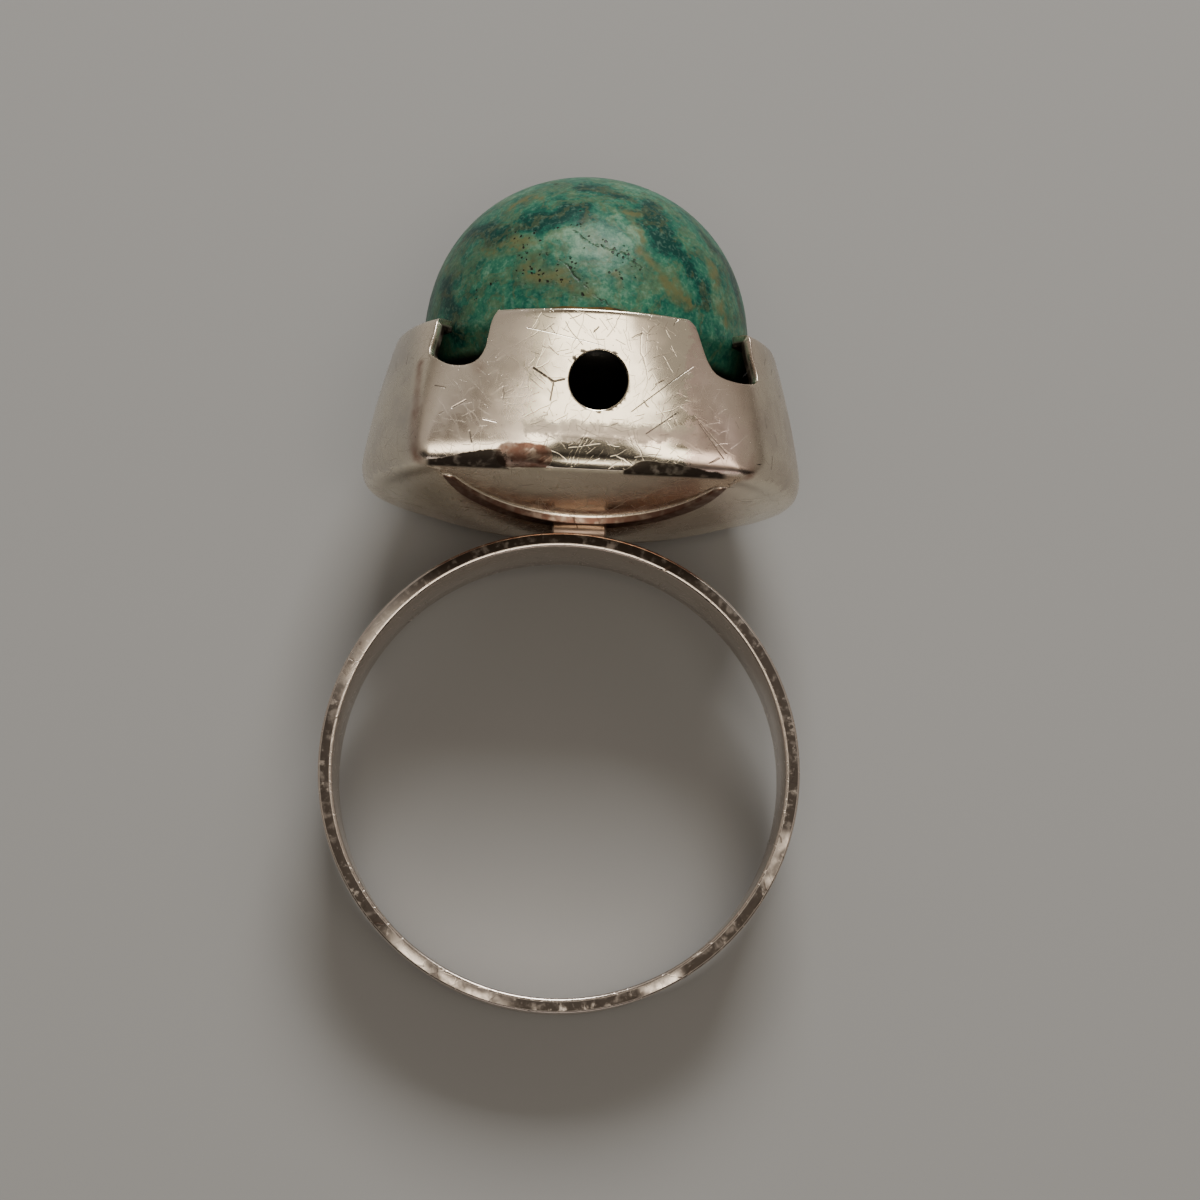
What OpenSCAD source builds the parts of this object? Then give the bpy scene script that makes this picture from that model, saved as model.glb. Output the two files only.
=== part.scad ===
// Gemstone ring: a hoop, a bridge tab and a hollow bell-shaped cup soldered into one piece,
// a high round cabochon in the cup's mouth, and the cement that holds the cabochon there.
// The ring is drawn standing up, with the hoop's middle at the origin, +Z towards the stone
// and -Y towards the cup's front face. at_rest() lays it on its side: the cup's front face
// then looks up, +Y runs towards the stone and +X across the cup.

/* [Hoop] */
// Inner diameter of the hoop, the finger's size
hoop_bore = 17.5; // [15:0.1:21]
// Thickness of the hoop's strip
hoop_wall = 0.57; // [0.4:0.01:1]
// Width of the hoop's strip along the finger
hoop_width = 4.5; // [3.5:0.1:5]
// Chamfer worn on the hoop's edges
hoop_edge = 0.1; // [0.05:0.01:0.15]
// How far the hoop's middle lies to the left of the cup's axis
hoop_offset = 0.4; // [0:0.1:1]

/* [Bridge tab] */
// Width of the tab across the hoop
tab_width = 2.1; // [1:0.1:3]
// Gap that the tab bridges between the hoop and the cup's bottom
tab_gap = 0.23; // [0.15:0.01:0.5]

/* [Cup] */
// Height of the cup from its bottom to its mouth
cup_height = 7.57; // [7:0.01:8]
// Thickness of the cup's sheet
cup_wall = 0.45; // [0.35:0.01:0.5]
// Radius of the round opening in the mouth
mouth_r = 6.68; // [6.64:0.01:6.72]
// Radius of the sphere that the cup's bottom follows
dome_r = 20.8; // [20:0.1:22]
// Half the width of the flattened faces, from the middle to the corner
face_half = 6.45; // [6.3:0.01:6.5]
// How far the cup is turned on the hoop
cup_twist = 1.5; // [0:0.5:4]

/* [Port and undercut] */
// Diameter of the round port in each face
port_d = 2.26; // [1.5:0.01:3]
// Height of the port's middle above the cup's bottom
port_height = 4.92; // [4:0.01:5.5]
// How far the port lies to the right of the face's middle
port_shift = 0.3; // [0:0.01:0.5]
// Slope of the filed facet under each face, from the horizontal
facet_slope = 18; // [15:1:20]
// Radius of the arc in which the facet ends under the cup
facet_arc_r = 6.12; // [5.5:0.01:7]
// Distance of that arc from the cup's middle
facet_reach = 2.25; // [2.2:0.01:2.6]

/* [Stone] */
// Largest radius of the stone
stone_r = 6.52; // [6.4:0.01:6.54]
// Height of the stone's top above the cup's bottom
stone_top = 14.5; // [13:0.01:16]
// Height of the stone's flat base above the cup's bottom
stone_base = 5.75; // [5.5:0.01:6.2]
// Fullness of the stone's dome, where 2 is an ellipse
dome_power = 2.35; // [2:0.05:2.6]

/* [Cement] */
// Height to which the cement stands above the mouth
cement_rise = 0.2; // [0.05:0.01:0.4]
// Angle that the cement covers behind the plate in each face
plate_angle = 54; // [30:1:56]
// Angle that the cement covers behind each side of the mouth
side_angle = 36; // [30:1:60]

/* [Lying position] */
// Angle by which the stone's end is raised
lie_pitch = 10.54; // [0:0.01:15]
// Angle by which the ring is turned about its long axis
lie_roll = -1.4; // [-5:0.01:5]
// Height of the hoop's middle above the surface
lie_height = 3.92; // [0:0.01:10]
// Distance from the hoop's middle to the middle of the ring's plan, across the cup
plan_x = -0.4; // [-2:0.01:2]
// Distance from the hoop's middle to the middle of the ring's plan, along the ring
plan_y = 7.15; // [0:0.01:10]

/* [Hidden] */
$fn = 72;

hoop_r = hoop_bore / 2;
hoop_outer_r = hoop_r + hoop_wall;
cup_bottom = hoop_outer_r + tab_gap;

// Depth to which the tab's ends run into the hoop and the cup
tab_sink = 0.3;
// Length that carries a cut past everything it goes through
through = 10;

// Cup's wall from the mouth down to the crease under the faces:
// [height above the cup's bottom, radius of the round side, middle of the flattened face]
WALL = [
    [7.57, 7.20, 7.05],
    [7.54, 7.38, 7.11],
    [7.42, 7.55, 7.12],
    [6.95, 7.71, 7.02],
    [6.15, 7.94, 6.84],
    [4.85, 8.27, 6.60],
    [3.65, 8.52, 6.38],
    [2.75, 8.68, 6.24],
    [2.35, 8.71, 6.20],
    [2.00, 8.65, 6.10],
    [1.75, 8.53, 5.92],
    [1.60, 8.35, 5.74],
];
mouth_height = WALL[0][0];

// Crease between a face and its facet: height above the cup's bottom, distance from the axis
crease_height = 1.62;
crease_y = 5.78;

// Round rim below the crease: [height above the cup's bottom, radius]
RIM = [
    [1.48, 8.05],
    [1.41, 7.65],
];
// Radii at which the domed bottom has a level, outside and in the hollow
DOME_RADII = [7, 6, 4.8, 3.2, 1.6];
FLOOR_RADII = [7.4, 6, 4, 2];

// Points on each side and each face of a level
side_steps = 14;
face_steps = 14;
// Where the corner lies on a level too narrow for face_half, as a share of its radius
corner_share = 0.72;

// Notches sawn down from the mouth, from the plate's corner round to the side:
// [distance from the cup's middle, depth below the mouth]
RIGHT_NOTCH = [
    [3.35, -0.30], [3.60, 0.10], [3.76, 0.30], [3.90, 0.70], [4.03, 1.15], [4.20, 1.68],
    [4.45, 2.08], [4.90, 2.24], [5.45, 2.22], [5.87, 1.93], [5.84, 0.70], [5.86, -0.30],
];
LEFT_NOTCH = [
    [3.30, -0.30], [3.55, 0.17], [3.68, 0.55], [3.76, 1.12], [3.84, 1.55], [4.05, 1.98],
    [4.42, 2.17], [4.85, 2.12], [5.25, 1.85], [5.58, 1.50], [5.58, 0.60], [5.66, -0.30],
];
// Radius of the circle round the cup's axis on which the notches' distances are taken
notch_r = 7.05;
// Direction from which a notch is filed, from the front round to the side
notch_turn = 40;

// Height of the domed bottom at distance r from the cup's axis
function dome_height(r) = r * r / (2 * dome_r);

// Points of one level of the cup: two round sides and two arcs that close them in front and
// behind, where face is the distance of each arc's middle from the axis
function level(height, r, face) =
    let (
        corner_x = min(face_half, corner_share * r),
        corner_y = sqrt(r * r - corner_x * corner_x),
        bulge = max(face - corner_y, 0.01),
        arc_r = (corner_x * corner_x + bulge * bulge) / (2 * bulge),
        side_a = atan2(corner_y, corner_x),
        arc_a = asin(corner_x / arc_r),
        half = concat(
            [for (i = [0:side_steps - 1])
                let (a = side_a * (2 * i / side_steps - 1)) [r * cos(a), r * sin(a), height]],
            [for (i = [0:face_steps - 1])
                let (a = arc_a * (1 - 2 * i / face_steps))
                [arc_r * sin(a), face + arc_r * (cos(a) - 1), height]]
        )
    )
    concat(half, [for (p = half) [-p[0], -p[1], p[2]]]);

// Solid through a list of levels, the highest first, down to a point on the axis
module loft(levels, tip) {
    ring = len(levels[0]);
    rows = len(levels);
    sides = [for (k = [0:rows - 2], i = [0:ring - 1])
        let (a = k * ring + i, b = k * ring + (i + 1) % ring)
        each [[a, b, b + ring], [a, b + ring, a + ring]]];
    last = (rows - 1) * ring;
    base = [for (i = [0:ring - 1]) [last + i, last + (i + 1) % ring, rows * ring]];
    top = [for (i = [ring - 1:-1:0]) i];
    polyhedron(
        concat([for (row = levels) each row], [[0, 0, tip]]),
        concat([top], sides, base),
        convexity = 4
    );
}

// Filed facet under a face: it slopes down from the crease and ends in an arc in the middle,
// and beyond the arc on both sides it runs out to the rim
module facet_cut() {
    slope = tan(facet_slope);
    inner_y = 1 - facet_reach;
    flank_y = -4.9;
    below = -1;
    intersection() {
        rotate([90, 0, 90])
            linear_extrude(2 * through, center = true)
                polygon([
                    [-through, below],
                    [-through, crease_height + (through - crease_y) * slope],
                    [inner_y, crease_height - (crease_y + inner_y) * slope],
                    [inner_y, below],
                ]);
        union() {
            translate([0, -facet_reach - facet_arc_r, -through])
                cylinder(r = facet_arc_r, h = 2 * through);
            translate([-through, -2 * through, -through])
                cube([2 * through, 2 * through + flank_y, 2 * through]);
        }
    }
}

module both_faces() {
    for (turn = [0, 180]) rotate([0, 0, turn]) children();
}

// Outer form of the cup, without its hollow and openings
module cup_form() {
    difference() {
        loft(concat(
            [for (row = WALL) level(row[0], row[1], row[2])],
            [for (row = RIM) level(row[0], row[1], row[1])],
            [for (r = DOME_RADII) level(dome_height(r), r, r)]
        ), 0);
        both_faces() facet_cut();
    }
}

// Hollow of the cup: the sheet's thickness inside the form, up to a lip with a round mouth
module cup_hollow() {
    lip_height = 7;
    mouth_sink = 1.1;
    difference() {
        loft(concat(
            [for (row = WALL) if (row[0] < lip_height && row[0] > crease_height + cup_wall / 2)
                level(row[0], row[1] - cup_wall, row[2] - cup_wall)],
            [for (r = FLOOR_RADII) level(dome_height(r) + cup_wall, r, min(r, crease_y))]
        ), cup_wall);
        both_faces() translate([0, cup_wall, cup_wall]) facet_cut();
    }
    translate([0, 0, mouth_height - mouth_sink]) cylinder(r = mouth_r, h = 2 * mouth_sink);
}

// A notch as filed square to the wall at notch_turn from the front, outline as seen from there
module notch_cut(outline, side) {
    function along(x) = x * cos(notch_turn)
        - sqrt(notch_r * notch_r - x * x) * sin(notch_turn);
    rotate([0, 0, side * notch_turn])
        translate([0, 0, mouth_height])
            rotate([90, 0, 0])
                linear_extrude(through)
                    polygon([for (p = outline) [side * along(p[0]), -p[1]]]);
}

// Round port, drilled square to the leaning face
module port_cut() {
    above = WALL[3];
    level = WALL[5];
    below = WALL[7];
    face_lean = atan((above[2] - below[2]) / (above[0] - below[0]));
    drilled = 8 * cup_wall;
    translate([port_shift, -level[2], port_height])
        rotate([90 + face_lean, 0, 0])
            cylinder(d = port_d, h = drilled, center = true);
}

// The cup, drawn at the height of its wall table and brought to cup_height
module cup() {
    resize([0, 0, cup_height])
        difference() {
            cup_form();
            cup_hollow();
            both_faces() {
                notch_cut(RIGHT_NOTCH, 1);
                notch_cut(LEFT_NOTCH, -1);
                port_cut();
            }
        }
}

// Strip of flat silver bent to a hoop, with worn edges and a round bore
module hoop() {
    half = hoop_width / 2;
    translate([-hoop_offset, 0, 0])
        rotate([90, 0, 0])
            rotate_extrude()
                polygon([
                    [hoop_r, -half + hoop_edge], [hoop_r + hoop_edge, -half],
                    [hoop_outer_r - hoop_edge, -half], [hoop_outer_r, -half + hoop_edge],
                    [hoop_outer_r, half - hoop_edge], [hoop_outer_r - hoop_edge, half],
                    [hoop_r + hoop_edge, half], [hoop_r, half - hoop_edge],
                ]);
}

// Flat block soldered between the hoop and the cup's bottom
module bridge_tab() {
    depth = hoop_width - hoop_edge;
    translate([-tab_width / 2, -depth / 2, hoop_outer_r - tab_sink])
        cube([tab_width, depth, tab_gap + 2 * tab_sink]);
}

module at_cup() {
    translate([0, 0, cup_bottom]) rotate([0, 0, cup_twist]) children();
}

module at_rest() {
    translate([-plan_x, -plan_y, lie_height])
        rotate([lie_pitch, 0, 0])
            rotate([0, lie_roll, 0])
                rotate([-90, 0, 0])
                    children();
}

module silver_mount() {
    color([0.78, 0.75, 0.71])
        at_rest() {
            hoop();
            bridge_tab();
            at_cup() cup();
        }
}

// Round stone: rounded edge below, widest just inside the mouth, then a high full dome
module cabochon() {
    below_mouth = 0.37;
    widest = cup_height - below_mouth;
    rise = stone_top - widest;
    edge = [[0, 0], [0.77, 0], [0.86, 0.07], [0.92, 0.28], [0.96, 0.68], [0.985, 1.3]];
    profile = concat(
        [for (p = edge) [p[0] * stone_r, stone_base + p[1]]],
        [for (a = [0:6:90])
            [stone_r * cos(a), widest + rise * pow(sin(a), 2 / dome_power)]]
    );
    color([0.27, 0.52, 0.44])
        at_rest() at_cup() rotate_extrude() polygon(profile);
}

// Four stretches of cement between the stone and the mouth: behind the plate in each face,
// where it stands proud of the mouth, and behind each side
module stone_cement() {
    clear = 0.03;
    side_sink = 0.1;
    depth = 0.5;
    low = cup_height - depth;
    color([0.75, 0.55, 0.15])
        at_rest() at_cup()
            for (turn = [0:90:270]) {
                plate = turn % 180 == 90;
                angle = plate ? plate_angle : side_angle;
                high = cup_height + (plate ? cement_rise : -side_sink);
                rotate([0, 0, turn - angle / 2])
                    rotate_extrude(angle = angle)
                        polygon([
                            [stone_r + clear, low], [mouth_r - clear, low],
                            [mouth_r - clear, high], [stone_r + clear, high],
                        ]);
            }
}

silver_mount();
cabochon();
stone_cement();
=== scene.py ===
from math import cos, pi, radians, sin

import bmesh
import bpy
import numpy as np
from mathutils import Matrix, Vector


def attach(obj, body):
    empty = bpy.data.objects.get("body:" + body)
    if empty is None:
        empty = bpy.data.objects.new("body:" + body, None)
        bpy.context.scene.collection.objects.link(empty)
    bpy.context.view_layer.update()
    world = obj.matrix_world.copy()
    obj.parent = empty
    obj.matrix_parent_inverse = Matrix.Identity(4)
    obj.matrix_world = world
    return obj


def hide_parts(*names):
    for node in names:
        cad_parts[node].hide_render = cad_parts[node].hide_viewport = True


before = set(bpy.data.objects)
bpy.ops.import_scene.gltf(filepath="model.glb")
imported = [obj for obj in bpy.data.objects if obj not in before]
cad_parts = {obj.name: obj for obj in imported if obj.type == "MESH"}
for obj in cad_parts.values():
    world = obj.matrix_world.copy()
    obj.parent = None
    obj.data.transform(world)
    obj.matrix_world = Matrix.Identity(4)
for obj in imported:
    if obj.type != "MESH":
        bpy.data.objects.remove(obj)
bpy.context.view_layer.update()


# Band: a thin flat strip of sterling silver, bent to a hoop, soldered shut and filed, with
# its edges broken and worn bright. It is drawn standing, in millimetres, with the stone's
# end up and the photographed face towards -Y, and then laid on its side with the rest.
BORE_R = 8.75
STRIP = 0.57
STRIP_WIDTH = 4.5
STRIP_EDGE = 0.1
BAND_X = -0.4
BAND_STEPS = 240
MM = 0.001

# Where the standing ring's origin goes, and how far the ring is tipped from flat on its back
LYING_AT = (0.4, -7.15, 3.92)
PITCH = radians(10.54)
ROLL = radians(-1.4)
LAID = (
    Matrix.Translation(LYING_AT)
    @ Matrix.Rotation(PITCH, 4, "X")
    @ Matrix.Rotation(ROLL, 4, "Y")
    @ Matrix.Rotation(radians(-90), 4, "X")
)
STAND = LAID.inverted()


def node(tree, kind, inputs=None, **settings):
    """One shader node: settings are its properties, inputs its sockets' values or links."""
    made = tree.nodes.new("ShaderNode" + kind)
    for key, value in settings.items():
        setattr(made, key, value)
    for key, value in (inputs or {}).items():
        if isinstance(value, bpy.types.NodeSocket):
            tree.links.new(value, made.inputs[key])
        else:
            made.inputs[key].default_value = value
    return made


def math_node(tree, operation, a, b=0.0, c=0.0, clamp=False):
    made = node(tree, "Math", {0: a, 1: b, 2: c}, operation=operation, use_clamp=clamp)
    return made.outputs[0]


def product(tree, *factors):
    """The factors multiplied in the order given."""
    found = factors[0]
    for factor in factors[1:]:
        found = math_node(tree, "MULTIPLY", found, factor)
    return found


def most(tree, masks):
    """The largest of several masks."""
    found = masks[0]
    for mask in masks[1:]:
        found = math_node(tree, "MAXIMUM", found, mask)
    return found


def vector_node(tree, operation, *given, result="Vector", **named):
    """One step of vector arithmetic: given are its operands, named its other inputs."""
    inputs = dict(enumerate(given)) | named
    return node(tree, "VectorMath", inputs, operation=operation).outputs[result]


def noise(tree, place, scale, detail=2.0, roughness=0.5):
    """Cloudy noise: result 0 is its value, and result "Color" three values of their own."""
    inputs = {"Vector": place, "Scale": scale, "Detail": detail, "Roughness": roughness}
    return node(tree, "TexNoise", inputs).outputs


def span(tree, value, low, high, out_low=0.0, out_high=1.0):
    """The value's place between low and high, as a smooth 0 to 1 or out_low to out_high."""
    inputs = {"Value": value, "From Min": low, "From Max": high, "To Min": out_low, "To Max": out_high}
    return node(tree, "MapRange", inputs, interpolation_type="SMOOTHSTEP").outputs[0]


def mix_colour(tree, share, a, b):
    """Colour a where the share is 0, turning to colour b where it is 1."""
    return node(tree, "Mix", {0: share, 6: a, 7: b}, data_type="RGBA").outputs[2]


def standing_mm(tree):
    """The point in the standing ring's own millimetres."""
    place = node(tree, "TexCoord").outputs["Object"]
    mapped = node(tree, "Mapping", {"Vector": place, "Scale": (1 / MM, 1 / MM, 1 / MM)})
    mapped.inputs["Rotation"].default_value = STAND.to_euler()
    mapped.inputs["Location"].default_value = STAND.translation
    return mapped.outputs[0]


def new_group(name, inputs, outputs):
    """An empty shader group with named sockets: its tree, its given values, its results."""
    tree = bpy.data.node_groups.new(name, "ShaderNodeTree")
    for label, kind, value in inputs:
        socket = tree.interface.new_socket(label, in_out="INPUT", socket_type="NodeSocket" + kind)
        if value is not None:
            socket.default_value = value
    for label, kind in outputs:
        tree.interface.new_socket(label, in_out="OUTPUT", socket_type="NodeSocket" + kind)
    return tree, tree.nodes.new("NodeGroupInput").outputs, tree.nodes.new("NodeGroupOutput").inputs


def new_material(name):
    """A new material, its tree and its shader."""
    material = bpy.data.materials.new(name)
    material.use_nodes = True
    return material, material.node_tree, material.node_tree.nodes["Principled BSDF"]


def hairline_group():
    """Straight scratches: one across each cell, every cell in a direction of its own."""
    tree, given, put = new_group(
        "hairline_scratches",
        [("Place", "Vector", None), ("Length", "Float", 1.5), ("Width", "Float", 0.03),
         ("Share", "Float", 0.6)],
        [("Line", "Float")],
    )
    per_mm = math_node(tree, "DIVIDE", 1.0, given["Length"])
    cells = node(tree, "TexVoronoi", {"Vector": given["Place"], "Scale": per_mm}).outputs
    inside = vector_node(tree, "SUBTRACT", given["Place"], cells["Position"])
    spread = vector_node(tree, "SUBTRACT", cells["Color"], (0.5, 0.5, 0.5))
    across = vector_node(tree, "NORMALIZE", spread)
    away = vector_node(tree, "DOT_PRODUCT", inside, across, result="Value")
    line = span(tree, math_node(tree, "ABSOLUTE", away), given["Width"], 0.0)
    draw = node(tree, "SeparateColor", {0: cells["Color"]}).outputs
    kept = math_node(tree, "LESS_THAN", draw[1], given["Share"])
    strength = math_node(tree, "MULTIPLY_ADD", draw[2], 0.75, 0.25)
    tree.links.new(product(tree, line, product(tree, kept, strength)), put["Line"])
    return tree


def streak_group():
    """A soft streak along the line between two points, 1 on the line and 0 beyond its width."""
    tree, given, put = new_group(
        "soft_streak",
        [("Place", "Vector", None), ("From", "Vector", None), ("To", "Vector", None),
         ("Width", "Float", 1.0)],
        [("Mask", "Float")],
    )
    rel = vector_node(tree, "SUBTRACT", given["Place"], given["From"])
    run = vector_node(tree, "SUBTRACT", given["To"], given["From"])
    both = vector_node(tree, "DOT_PRODUCT", rel, run, result="Value")
    whole = vector_node(tree, "DOT_PRODUCT", run, run, result="Value")
    not_zero = math_node(tree, "ADD", whole, 0.000001)
    share = math_node(tree, "DIVIDE", both, not_zero, clamp=True)
    along = vector_node(tree, "SCALE", run, Scale=share)
    away = vector_node(tree, "DISTANCE", rel, along, result="Value")
    tree.links.new(span(tree, away, given["Width"], 0.0), put["Mask"])
    return tree


HAIRLINES = hairline_group()
STREAK = streak_group()


def streak(tree, place, start, end, width):
    """The mask of one soft streak, for points in mm and half a width in mm."""
    inputs = {"Place": place, "From": start, "To": end, "Width": width}
    return node(tree, "Group", inputs, node_tree=STREAK).outputs[0]


# What lies on the silver, and the hairlines: shift of their cells, length and half width
SCRATCHED = (0.35, 0.29, 0.22, 1)
COPPER_BROWN = (0.26, 0.115, 0.075, 1)
BLACK_OXIDE_AND_PAINTED_SHADE = (0.035, 0.026, 0.020, 1)
DIRT = (0.09, 0.06, 0.045, 1)
HAIRLINE_SIZES = (
    ((0.3, 0.1, 0.7), 1.2, 0.020), ((5.3, 2.1, 1.7), 0.7, 0.017), ((2.4, 7.1, 3.3), 2.4, 0.022),
    ((9.2, 4.6, 8.3), 0.4, 0.014), ((1.2, 3.3, 5.1), 0.9, 0.018),
)
NICK = {"Length": 0.42, "Width": 0.028, "Share": 0.07}


def wear_group():
    """Worn polished silver: hairlines in five sizes, nicks, a haze and thin tarnish."""
    tree, given, put = new_group(
        "silver_wear",
        [("Place", "Vector", None), ("Polish", "Color", (0.8, 0.75, 0.68, 1)),
         ("Tarnish", "Color", (0.5, 0.36, 0.29, 1)), ("Film", "Float", 0.5),
         ("Oxide_and_painted_shade", "Float", 0.0), ("Tint", "Float", 0.0), ("Marks", "Float", 0.0),
         ("Gloss", "Float", 0.15), ("Share", "Float", 0.6)],
        [("Colour", "Color"), ("Roughness", "Float"), ("Height", "Float")],
    )
    place = given["Place"]
    bends = noise(tree, place, 1.1)["Color"]
    bent = vector_node(tree, "MULTIPLY_ADD", bends, (0.3, 0.3, 0.3), place)
    lines = []
    for shift, length, width in HAIRLINE_SIZES:
        moved = vector_node(tree, "ADD", bent, shift)
        scratch = {"Place": moved, "Length": length, "Width": width, "Share": given["Share"]}
        lines.append(node(tree, "Group", scratch, node_tree=HAIRLINES).outputs[0])
    handled = span(tree, noise(tree, place, 0.35)[0], 0.35, 0.6, 0.3, 1.0)
    scratches = product(tree, most(tree, lines), handled)
    nicks = node(tree, "Group", {"Place": bent} | NICK, node_tree=HAIRLINES).outputs[0]
    nicks = most(tree, [nicks, given["Marks"]])

    # the colour, from the metal up: film, copper-brown, scratches, black oxide, dirty nicks; on the cup the
    # copper-brown and the black are partly painted reflection and shade
    clouds = noise(tree, place, 0.4, 6.0, 0.6)[0]
    film = product(tree, span(tree, clouds, 0.35, 0.65, 0.65, 1.0), given["Film"])
    colour = mix_colour(tree, film, given["Polish"], given["Tarnish"])
    blotch = noise(tree, place, 3.0, 5.0)[0]
    tint = product(tree, given["Tint"], span(tree, blotch, 0.30, 0.62, 0.6, 0.95))
    colour = mix_colour(tree, tint, colour, COPPER_BROWN)
    colour = mix_colour(tree, product(tree, scratches, 0.4), colour, SCRATCHED)
    # black oxide, which on the cup also carries painted shade and painted reflection
    oxide_and_painted_shade = product(tree, given["Oxide_and_painted_shade"], span(tree, blotch, 0.25, 0.5, 0.75, 1.0))
    colour = mix_colour(tree, oxide_and_painted_shade, colour, BLACK_OXIDE_AND_PAINTED_SHADE)
    colour = mix_colour(tree, product(tree, nicks, 0.8), colour, DIRT)
    tree.links.new(colour, put["Colour"])

    # each of them adds to the roughness, and the scratches bite less where the film is thick
    rough = math_node(tree, "MULTIPLY_ADD", noise(tree, place, 2.2, 4.0)[0], 0.12, given["Gloss"])
    for layer, adds in ((scratches, 0.14), (film, 0.14), (oxide_and_painted_shade, 0.35)):
        rough = math_node(tree, "MULTIPLY_ADD", layer, adds, rough)
    tree.links.new(rough, put["Roughness"])
    waves = noise(tree, place, 0.7)[0]
    bite = product(tree, scratches, span(tree, film, 0.2, 0.8, -0.55, -0.25))
    height = math_node(tree, "MULTIPLY_ADD", waves, 1.6, bite)
    tree.links.new(math_node(tree, "MULTIPLY_ADD", nicks, -1.1, height), put["Height"])
    return tree


SILVER_WEAR = wear_group()


def worn_silver(name, polish, tarnish, film, gloss, share):
    """A silver material; returns it with its tree, its wear's inputs and the point in mm."""
    material, tree, skin = new_material(name)
    skin.inputs["Metallic"].default_value = 1.0
    place = standing_mm(tree)
    look = {
        "Place": place, "Polish": polish, "Tarnish": tarnish, "Film": film, "Gloss": gloss, "Share": share,
    }
    wear = node(tree, "Group", look, node_tree=SILVER_WEAR)
    tree.links.new(wear.outputs["Colour"], skin.inputs["Base Color"])
    tree.links.new(wear.outputs["Roughness"], skin.inputs["Roughness"])
    relief = {"Strength": 1.0, "Distance": 0.00001, "Height": wear.outputs["Height"]}
    tree.links.new(node(tree, "Bump", relief).outputs[0], skin.inputs["Normal"])
    return material, tree, wear.inputs, place


def lay_piece(name, bm, material, cad_node):
    """Lays a standing bmesh in millimetres on its side in the frame, as a piece."""
    bmesh.ops.recalc_face_normals(bm, faces=bm.faces)
    bm.transform(Matrix.Scale(MM, 4) @ LAID)
    mesh = bpy.data.meshes.new(name)
    bm.to_mesh(mesh)
    bm.free()
    mesh.shade_smooth()
    mesh.materials.append(material)
    piece = bpy.data.objects.new(name, mesh)
    bpy.context.scene.collection.objects.link(piece)
    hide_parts(cad_node)
    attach(piece, "root")


band = bmesh.new()
outer_r = BORE_R + STRIP
half_width = STRIP_WIDTH / 2
corners = ((BORE_R, -half_width), (outer_r, -half_width), (outer_r, half_width), (BORE_R, half_width))
band.faces.new([band.verts.new((BAND_X + r, y, 0)) for r, y in corners])
bmesh.ops.bevel(
    band, geom=list(band.verts), offset=STRIP_EDGE, segments=4, profile=0.5, affect="VERTICES", material=-1,
)
bmesh.ops.spin(
    band, geom=list(band.edges), cent=(BAND_X, 0, 0), axis=(0, 1, 0), angle=2 * pi,
    steps=BAND_STEPS, use_merge=True,
)
bmesh.ops.delete(band, geom=[f for f in band.faces if len(f.verts) > 4], context="FACES_ONLY")

# Patches worn bright on the strip's two sides: turn from the right in degrees, half length
# in radians
WORN_PATCHES = ((-117, 0.35), (143, 0.45), (-20, 0.15), (-62, 0.12))
band_silver, tree, wear, place = worn_silver(
    "band_silver", polish=(0.82, 0.75, 0.67, 1), tarnish=(0.46, 0.35, 0.28, 1),
    film=0.45, gloss=0.10, share=0.5,
)
axes = node(tree, "SeparateXYZ", {0: place}).outputs
sideways = math_node(tree, "SUBTRACT", axes[0], BAND_X)
out = node(tree, "CombineXYZ", {0: sideways, 1: axes[2]}).outputs[0]
radial = vector_node(tree, "LENGTH", out, result="Value")
turn = math_node(tree, "ARCTAN2", axes[2], sideways)
soldered = span(tree, axes[2], 3.0, 8.0)

# the sides are dark between bright edges, in file strokes, and dark throughout by the solder
flank = product(
    tree, span(tree, math_node(tree, "ABSOLUTE", axes[1]), half_width - 0.11, half_width - 0.01),
    span(tree, radial, BORE_R + 0.11, BORE_R + 0.15), span(tree, radial, outer_r - 0.06, outer_r - 0.10),
)
patches = []
for at, wide in WORN_PATCHES:
    off = math_node(tree, "ABSOLUTE", math_node(tree, "SUBTRACT", turn, radians(at)))
    patches.append(span(tree, off, wide, wide / 2))
patchy = span(tree, noise(tree, place, 0.9, 5.0)[0], 0.40, 0.56, 0.2, 0.85)
bright = product(tree, most(tree, patches), patchy)
dark = math_node(tree, "MAXIMUM", soldered, math_node(tree, "SUBTRACT", 0.95, bright))
stroke = node(tree, "CombineXYZ", {0: product(tree, turn, 12.0), 1: radial}).outputs[0]
filing = span(tree, noise(tree, stroke, 2.0, 6.0, 0.7)[0], 0.66, 0.54, 0.6, 1.0)
dark = product(tree, dark, math_node(tree, "MAXIMUM", filing, soldered))
tree.links.new(product(tree, dark, flank), wear["Oxide_and_painted_shade"])
copper = span(tree, product(tree, soldered, radial), outer_r - 0.22, outer_r - 0.02)
tree.links.new(copper, wear["Tint"])
lay_piece("band", band, band_silver, "silver_mount")


# Bridge tab: a small flat block of silver between the band and the cup, sunk into both
# where it is soldered, with its upright edges rounded and its silver painted darker and browner as shade
# between band and cup.
TAB_GAP = 0.23
TAB_WIDTH = 2.1
TAB_DEPTH = STRIP_WIDTH - 0.1
TAB_SINK = 0.25
TAB_EDGE = 0.08
CUP_Z = BORE_R + STRIP + TAB_GAP

tab = bmesh.new()
bmesh.ops.create_cube(tab, size=1.0)
bmesh.ops.scale(tab, vec=(TAB_WIDTH, TAB_DEPTH, TAB_GAP + 2 * TAB_SINK), verts=tab.verts)
bmesh.ops.translate(tab, vec=(0, 0, CUP_Z - TAB_GAP / 2), verts=tab.verts)
upright = [e for e in tab.edges if e.verts[0].co.xy == e.verts[1].co.xy]
bmesh.ops.bevel(tab, geom=upright, offset=TAB_EDGE, segments=3, profile=0.5, affect="EDGES", material=-1)
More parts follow.
